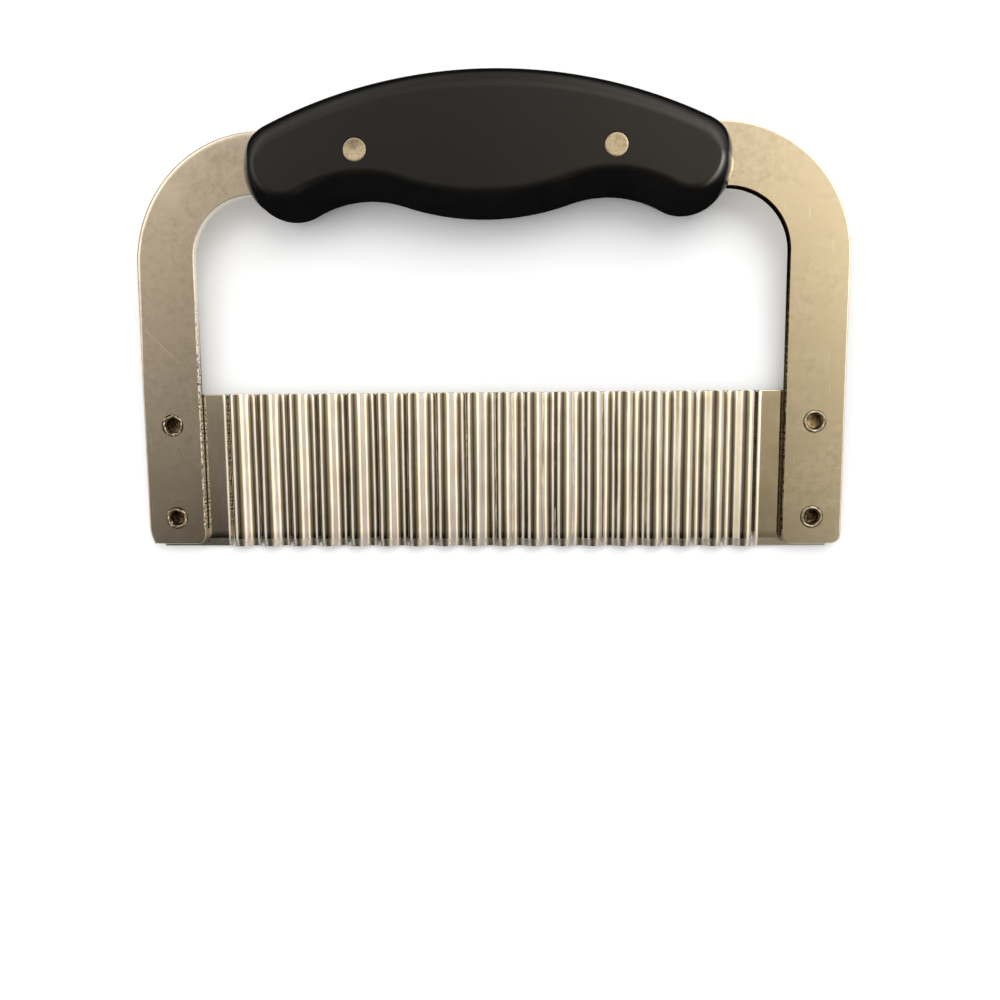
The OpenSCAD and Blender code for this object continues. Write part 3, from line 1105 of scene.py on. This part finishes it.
@dataclass
class BladeRivet:
    """A rivet through a leg and a tab: a low head behind, a hollow end rolled out in front."""

    layout: Layout
    side: Side
    row: Row
    crumple: float
    seed: float
    head_d: float = 8.6
    head_h: float = 1.3
    head_rim: float = 0.25
    head_steps: int = 6
    bore_d: float = 3.2
    roll_r: float = 2.68
    roll_wall: float = 0.65
    roll_steps: int = 8
    neck_share: float = 0.3
    throat_share: float = 0.35
    flare_share: float = 0.4
    neck_bent: float = 0.4
    throat_bent: float = 0.6
    bore_bent: float = 0.2
    cup: float = 1.3
    cup_floor: tuple[Pair, Pair] = ((0.8, 0.13), (0.3, 0.2))
    dents: float = 1.6
    lift: float = 0.6
    lift_dents: float = 1.7
    lift_seed: float = 9.0
    lift_low: float = 0.3
    sides: int = 72

    def profile(self) -> list[tuple[float, float, float, int]]:
        """Draws half of the rivet's section, from the head to the bore.

        Returns:
            Radii, heights, shares of the crumpling and numbers of the finish.
        """
        lay, rim, half = self.layout, self.head_rim, self.roll_wall / 2
        back, front, shank = lay.blade_back, lay.front, lay.rivet_d / 2
        bore, wide = self.bore_d / 2, self.head_d / 2
        bend, foot = front - self.flare_share * lay.rivet_flare, front - lay.rivet_flare
        head = [math.pi / 2 * i / self.head_steps for i in range(1, self.head_steps + 1)]
        lip = [math.pi * i / self.roll_steps for i in range(self.roll_steps + 1)]
        return [
            *((wide * math.sin(a), back - rim - (self.head_h - rim) * math.cos(a), 0.0, 0) for a in head),
            (wide, back, 0.0, 0), (shank, back, 0.0, 0), (shank, foot, 0.0, 0),
            (shank + self.neck_share * (self.roll_r - shank), bend, self.neck_bent, 0),
            *((self.roll_r - half + half * math.cos(a), front + half * math.sin(a), 1.0, 0) for a in lip),
            (bore + self.throat_share * (self.roll_r - 2 * half - bore), bend, self.throat_bent, 0),
            (bore, foot, self.bore_bent, 1), (bore, front - self.cup, 0.0, 1),
            *((share * bore, front - self.cup - drop, 0.0, 1) for share, drop in self.cup_floor)]

    def finishes(self) -> tuple[RivetMetal, RivetMetal]:
        """Chooses the plating, dirtier on the left, and the bore, dirty in all rivets but one.

        Returns:
            The finishes of the plating and of the bore.
        """
        plate = RivetMetal("steel_nickel_plated_tumbled", ("C4BAA6", "6F6453"), (0.24, 0.42))
        bore = RivetMetal("steel_bore_tarnished", ("8E7F64", "3C3022"), (0.3, 0.45))
        if self.side is Side.LEFT:
            plate = RivetMetal(
                "steel_nickel_plated_tumbled_soiled", ("C2B59E", "2A2016"), (0.22, 0.4), 0.7, (0.46, 0.64))
        if self.side is Side.LEFT or self.row is Row.LOWER:
            bore = RivetMetal(
                "steel_bore_tarnished_soiled", ("6A5C46", "1A130C"), (0.28, 0.42), 0.8, (0.4, 0.6))
        return plate, bore

    def build(self) -> None:
        """Builds the rivet and dresses it."""
        lay = self.layout
        name = f"rivet_{self.side.name.lower()}_{self.row.name.lower()}"
        x0, y0 = self.side.value * lay.rivet_x, lay.rivet_rows[self.row.value]
        shell, rings, profile = Shell(name + "_set"), [], self.profile()
        elsewhere = Vector((self.lift_seed, 0.0, 0.0))
        for radius, height, share, _ in profile:
            ring, bent = [], self.crumple * share
            for i in range(self.sides):
                turn = 2 * math.pi * i / self.sides
                spot = Vector((self.dents * math.cos(turn), self.dents * math.sin(turn), self.seed))
                r = radius + bent * noise.noise(spot)
                rise = self.lift * bent * (noise.noise(spot * self.lift_dents + elsewhere) - self.lift_low)
                ring.append((x0 + r * math.cos(turn), y0 + r * math.sin(turn), height + rise))
            rings.append(shell.ring(ring))
        for low, high, (_, _, _, finish) in zip(rings, rings[1:], profile[1:]):
            shell.bridge(low, high, finish)
        shell.fan(rings[0])
        shell.fan(rings[-1], 1)
        shell.build(name, "rivet_steel", *self.finishes())


@dataclass
class GripRivet:
    """A two-piece rivet through the grip, its heads let into the front and the back."""

    layout: Layout
    side: Side
    face: Face
    dish: float
    dimple: float
    head_d: float = 5.6
    head_t: float = 1.4
    head_sink: float = 0.1
    pressed: tuple[Point, ...] = (
        (0.08, 1.0, 1.0), (0.2, 1.0, 0.5), (0.34, 1.0, 0.0), (0.62, 0.75, 0.0), (0.8, 0.15, 0.0),
        (0.88, 0.0, 0.0))
    rounding: tuple[Pair, Pair] = ((0.96, 0.03), (1.0, 0.12))
    pin_d: float = 2.6
    pin_reach: float = 3.0
    end_gap: float = 0.4
    sides: int = 64

    def profile(self) -> list[Pair]:
        """Draws half of the section, from the middle of the face to the end of the shank.

        Returns:
            Radii and heights.
        """
        lay, r = self.layout, self.head_d / 2
        face = lay.scale_t - self.head_sink
        seat = face - self.head_t
        head = [
            *((out * r, face - dish * self.dish - dimple * self.dimple)
              for out, dish, dimple in self.pressed),
            *((out * r, face - drop) for out, drop in self.rounding), (r, seat)]
        if self.face is Face.BACK:
            return head + [(self.pin_d / 2, seat), (self.pin_d / 2, -self.pin_reach)]
        bore, shank, end = self.pin_d / 2 + lay.fit, lay.grip_rivet_d / 2, self.end_gap - seat
        return head + [(shank, seat), (shank, end), (bore, end), (bore, self.pin_reach + self.end_gap)]

    def build(self) -> None:
        """Builds the rivet's half and dresses it."""
        lay, out = self.layout, self.face.value
        part = "sleeve" if self.face is Face.FRONT else "pin"
        node = f"{part}_{self.side.name.lower()}"
        shell, x0 = Shell(node + "_set"), self.side.value * lay.grip_rivet_x
        rings = [shell.ring(circle(x0, lay.bar_mid, out * z, r, self.sides)) for r, z in self.profile()]
        shell.loft(rings)
        shell.fan(rings[0])
        shell.fan(rings[-1])
        worn = RivetMetal("steel_nickel_plated_pressed_dull", ("C6BAA4", "968870"), (0.4, 0.54))
        shell.build(node, "rivet_steel", worn)


@dataclass
class Grip:
    """The two moulded scales: an arch over the top, round ends, two finger grooves and a belly."""

    layout: Layout
    length: float = 119.4
    crown_wall: float = 11.45
    belly_wall: float = 6.0
    groove_wall: float = 1.1
    end_wall: float = 3.3
    end_drop: float = 2.7
    groove_r: float = 27.5
    edge_r: float = 3.0
    crown_r: float = 6.9
    crown_out: Pair = (0.05, 0.7)
    edge_turn: float = 40.0
    wall_h: float = 1.8
    crown_wall_h: float = 4.0
    seam_bevel: float = 0.3
    seat_d: float = 5.7
    seat_h: float = 1.5
    arch_step: float = 0.6
    belly_step: float = 1.0
    wall_steps: int = 3
    flank_steps: int = 9
    edge_steps: int = 10
    seat_sides: int = 56

    def outline(self) -> list[Station]:
        """Lays stations round a scale.

        Returns:
            The stations, from the right end of the arch.
        """
        lay = self.layout
        crown, low = lay.bar_top + self.crown_wall, lay.bar_low
        end_r, groove_r = lay.bar_w / 2 + self.end_wall, self.groove_r
        end = Vector((self.length / 2 - end_r, lay.bar_mid - self.end_drop))
        fall = end.y - crown
        arch_r = (end_r ** 2 - end.x ** 2 - fall ** 2) / (2 * (fall + end_r))
        groove_y = low - self.groove_wall - groove_r
        run = math.sqrt((end_r + groove_r) ** 2 - (end.y - groove_y) ** 2)
        groove = Vector((end.x - run, groove_y))
        belly_y = low - self.belly_wall
        sag = belly_y - groove_y
        belly_r = (groove.x ** 2 + sag ** 2 - groove_r ** 2) / (2 * (groove_r - sag))
        arch, belly = Vector((0.0, crown - arch_r)), Vector((0.0, belly_y + belly_r))
        high_a, low_a, in_a = heading(arch, end), heading(end, groove), heading(groove, belly)
        return [
            *along_arc(0.0, arch.y, arch_r, high_a, 180 - high_a, step=self.arch_step),
            *along_arc(-end.x, end.y, end_r, 180 - high_a, 180 - low_a),
            *along_arc(-groove.x, groove_y, groove_r, -low_a, 180 - in_a),
            *along_arc(0.0, belly.y, belly_r, -in_a, in_a - 180, step=self.belly_step),
            *along_arc(groove.x, groove_y, groove_r, in_a, low_a + 180),
            *along_arc(end.x, end.y, end_r, low_a, high_a)]

    def edge(self, out_y: float) -> list[Pair]:
        """Draws the section of a scale's edge, rounder on the crown than below.

        Args:
            out_y: How far the edge looks up, from -1 to 1.

        Returns:
            Insets and heights from the seam to the face.
        """
        share = share_of(out_y, *self.crown_out)
        share = share * share * (3 - 2 * share)
        r = self.edge_r + (self.crown_r - self.edge_r) * share
        wall_h = self.wall_h + (self.crown_wall_h - self.wall_h) * share
        top, bevel, turn = self.layout.scale_t, self.seam_bevel, math.radians(self.edge_turn)
        flank_r = (top - wall_h - r * (1 - math.cos(turn))) / math.cos(turn)
        inset = flank_r * (1 - math.sin(turn)) + r * math.sin(turn)
        wall = [bevel + (wall_h - bevel) * i / self.wall_steps for i in range(self.wall_steps)]
        steep = [(math.pi / 2 - turn) * i / self.flank_steps for i in range(self.flank_steps)]
        tight = [math.pi / 2 - turn * (1 - i / self.edge_steps) for i in range(self.edge_steps + 1)]
        return [
            (bevel, 0.0), *((0.0, z) for z in wall),
            *((flank_r * (1 - math.cos(a)), wall_h + flank_r * math.sin(a)) for a in steep),
            *((inset - r * math.cos(a), top - r * (1 - math.sin(a))) for a in tight)]

    def build(self, face: Face) -> None:
        """Builds a scale and dresses it.

        Args:
            face: Which scale.
        """
        lay, out = self.layout, face.value
        node = f"{face.name.lower()}_scale"
        shell, stations = Shell(node + "_moulding"), self.outline()
        rings = rounded(shell, stations, [self.edge(station.out_y) for station in stations], out)
        shell.cap([rings[0]])
        seats = []
        for side in Side:
            x = side.value * lay.grip_rivet_x
            rim, foot = (
                shell.ring(circle(x, lay.bar_mid, out * z, self.seat_d / 2, self.seat_sides))
                for z in (lay.scale_t, lay.scale_t - self.seat_h))
            shell.bridge(rim, foot)
            shell.fan(foot)
            seats.append(rim)
        shell.cap([rings[-1], *seats])
        shell.build(node, "grip_plastic", MouldedPlastic())


@dataclass(frozen=True)
class Glow:
    """A soft bright field of the room round the tool.

    Its middle, half width and softness are degrees from overhead toward the right. Its strength runs from
    low, on the side of the cutting edge, to high, on the side of the grip; start, end and stop are heights
    on the room's wall in shares of its radius, where the strength begins and ends to grow and where the
    field stops.
    """

    middle: float
    half: float
    soft: float
    low: float
    high: float
    colour: str
    start: float = -0.24
    end: float = 0.317
    stop: float = 1.2
    stop_soft: float = 0.07

    def light(self, tree: Tree, across: Node, height: Socket, room_r: float) -> Node:
        """Lays out the field.

        Args:
            tree: The nodes of the room's wall.
            across: The angle from overhead toward the right.
            height: How far toward the grip a point of the wall is.
            room_r: Radius of the room.

        Returns:
            The node that shines.
        """
        off = add(tree, "Math", {0: across, 1: math.radians(self.middle)}, operation="SUBTRACT")
        away = add(tree, "Math", {0: off}, operation="ABSOLUTE")
        rim = [math.radians(self.half + soft) for soft in (self.soft, -self.soft)]
        pane = add(tree, "MapRange", {"Value": away, "From": rim}, interpolation_type="SMOOTHSTEP")
        grown = add(tree, "MapRange", {
            "Value": height, "From": (self.start * room_r, self.end * room_r), "To": (self.low, self.high)})
        kept = add(tree, "MapRange", {
            "Value": height, "From": ((self.stop + self.stop_soft) * room_r, self.stop * room_r)})
        level = add(tree, "Math", {0: grown, 1: kept}, operation="MULTIPLY")
        lit = add(tree, "Math", {0: pane, 1: level}, operation="MULTIPLY")
        return add(tree, "Emission", {"Color": linear(self.colour), "Strength": lit})


@dataclass(frozen=True)
class Lamp:
    """A square softbox that points at the tool: its place and width in metres, its watts and its colour."""

    name: str
    place: Point
    width: float
    watts: float
    colour: str

    def build(self) -> None:
        """Hangs the lamp, unseen by the camera and in mirrors."""
        data = bpy.data.lights.new(self.name, "AREA")
        data.shape = "RECTANGLE"
        data.size = data.size_y = self.width
        data.energy = self.watts
        data.color = linear(self.colour)[:3]
        lamp = put(self.name, data)
        lamp.location = self.place
        lamp.rotation_euler = (-Vector(self.place)).to_track_quat("-Z", "Y").to_euler()
        lamp.visible_camera = False
        lamp.visible_glossy = False


@dataclass
class Studio:
    """Pale floor, soft light and the camera of the photograph."""

    eye: Point = (10.13, 31.01, 192.39)
    tilt: Point = (5.65, -2.18, 0.16)
    focal_share: float = 0.751
    sensor: float = 36.0
    clip_m: Pair = (0.005, 50.0)
    floor_half: float = 4.0
    grip_touch: Pair = (87.6, -8.51)
    rivet_touch: Pair = (7.6, -2.91)
    sky: str = "FAFAFA"
    sky_strength: float = 0.84
    lamps: tuple[Lamp, ...] = (
        Lamp("key", (0.28, 0.5, 0.62), 0.8, 3.4, "FFFFFF"),
        Lamp("fill", (-0.55, 0.1, 0.5), 0.8, 1.5, "FAFBFF"))
    room_r: float = 3.0
    room_sides: tuple[int, int] = (48, 24)
    glows: tuple[Glow, ...] = (
        Glow(0.0, 200.0, 1.0, 0.005, 0.12, "FFD8B0", -0.2),
        Glow(-44.0, 26.0, 18.0, 0.02, 0.83, "FFF5E0"), Glow(-60.0, 8.0, 5.0, 0.79, 1.36, "FFFBDC"),
        Glow(-47.0, 7.0, 5.0, 0.79, 1.36, "FAF5FF"), Glow(33.0, 27.0, 18.0, 0.22, 1.0, "FFEFC8"),
        Glow(36.0, 7.0, 5.0, 0.79, 1.6, "FFFBDC"), Glow(48.0, 7.0, 5.0, 0.79, 1.6, "FBF6FF"),
        Glow(58.0, 17.0, 9.0, 0.4, 0.87, "FFF3EC"), Glow(83.0, 18.0, 10.0, 0.35, 0.9, "FFFFFF"),
        Glow(-6.0, 22.0, 8.0, 0.0, 0.22, "EEF4FF", 0.22, 0.34),
        Glow(24.0, 22.0, 10.0, 0.0, 0.2, "F0F6FF", 0.2, 0.34),
        Glow(41.0, 8.0, 6.0, 0.0, 3.0, "FFF8E8", 0.16, 0.2, 0.3),
        Glow(-25.0, 8.0, 6.0, 0.0, 0.1, "EEF4FF", 0.22, 0.34),
        Glow(0.0, 200.0, 1.0, 0.0, 0.1, "FFFFFF", 0.5, 0.58, 0.65),
        Glow(24.0, 26.0, 16.0, 0.0, 1.35, "FFFBF2", 0.5, 0.58, 0.65))

    def camera(self) -> None:
        """Sets the camera where the photograph was taken from."""
        data = bpy.data.cameras.new("camera")
        data.sensor_width = self.sensor
        data.lens = self.sensor * self.focal_share
        data.clip_start, data.clip_end = self.clip_m
        camera = put("camera", data)
        pitch, yaw, roll = (math.radians(a) for a in self.tilt)
        turn = Matrix.Rotation(roll, 3, "Z") @ Matrix.Rotation(yaw, 3, "Y") @ Matrix.Rotation(pitch, 3, "X")
        camera.matrix_world = Matrix.Translation(in_frame(*self.eye)) @ turn.transposed().to_4x4()
        bpy.context.scene.camera = camera

    def floor(self) -> None:
        """Lays the floor under the grip's back and the heads of the lower rivets, on which the tool rests."""
        half = self.floor_half
        corners = [(-half, -half, 0.0), (half, -half, 0.0), (half, half, 0.0), (-half, half, 0.0)]
        mesh = bpy.data.meshes.new("floor")
        mesh.from_pydata(corners, [], [(0, 1, 2, 3)])
        mesh.materials.append(MattPaper().material())
        (y0, z0), (y1, z1) = self.grip_touch, self.rivet_touch
        lean = math.atan2(z1 - z0, y0 - y1)
        sheet = put("floor", mesh)
        sheet.matrix_world = Matrix.Translation(in_frame(0.0, y0, z0)) @ Matrix.Rotation(-lean, 4, "X")

    def room(self) -> None:
        """Sets up what the metal mirrors: a room dark overhead, brighter toward the grip, windows beside."""
        mesh = bpy.data.meshes.new("room")
        work = bmesh.new()
        around, upward = self.room_sides
        bmesh.ops.create_uvsphere(work, u_segments=around, v_segments=upward, radius=self.room_r)
        work.to_mesh(mesh)
        work.free()
        dome = put("room", mesh)
        material, tree = new_material("room_with_windows")
        where = add(tree, "SeparateXYZ", {"Vector": add(tree, "TexCoord", {}).outputs["Object"]})
        across = add(tree, "Math", {0: where.outputs["X"], 1: where.outputs["Z"]}, operation="ARCTAN2")
        total, *others = (glow.light(tree, across, where.outputs["Y"], self.room_r) for glow in self.glows)
        for light in others:
            total = add(tree, "AddShader", {0: total, 1: light})
        add(tree, "OutputMaterial", {"Surface": total})
        mesh.materials.append(material)
        dome.visible_camera = False
        dome.visible_diffuse = False
        dome.visible_shadow = False
        dome.visible_transmission = False

    def light(self) -> None:
        """Lights the stage: an even pale world, a soft key from the top right and a weak fill."""
        world = bpy.data.worlds.new("studio")
        world.use_nodes = True
        world.node_tree.nodes.clear()
        glow = add(world.node_tree, "Background", {"Color": linear(self.sky), "Strength": self.sky_strength})
        add(world.node_tree, "OutputWorld", {"Surface": glow})
        bpy.context.scene.world = world
        for lamp in self.lamps:
            lamp.build()

    def build(self) -> None:
        """Builds the stage."""
        self.camera()
        self.floor()
        self.room()
        self.light()
        bpy.context.scene.view_settings.view_transform = "Standard"


def main() -> None:
    """Builds every piece in order."""
    logging.basicConfig(level=logging.INFO, format="%(name)s: %(message)s")
    layout = Layout()
    Studio().build()
    Bow(layout).build()
    Blade(layout).build()
    for face in Face:
        Grip(layout).build(face)
    for side, row, crumple, seed in (
            (Side.LEFT, Row.UPPER, 0.42, 3.1), (Side.LEFT, Row.LOWER, 0.3, 7.4),
            (Side.RIGHT, Row.UPPER, 0.1, 1.9), (Side.RIGHT, Row.LOWER, 0.16, 5.2)):
        BladeRivet(layout, side, row, crumple, seed).build()
    for side, face, dish, dimple in (
            (Side.LEFT, Face.FRONT, 0.22, 0.14), (Side.RIGHT, Face.FRONT, 0.03, 0.02),
            (Side.LEFT, Face.BACK, 0.05, 0.02), (Side.RIGHT, Face.BACK, 0.05, 0.02)):
        GripRivet(layout, side, face, dish, dimple).build()


if __name__ == "__main__":
    main()
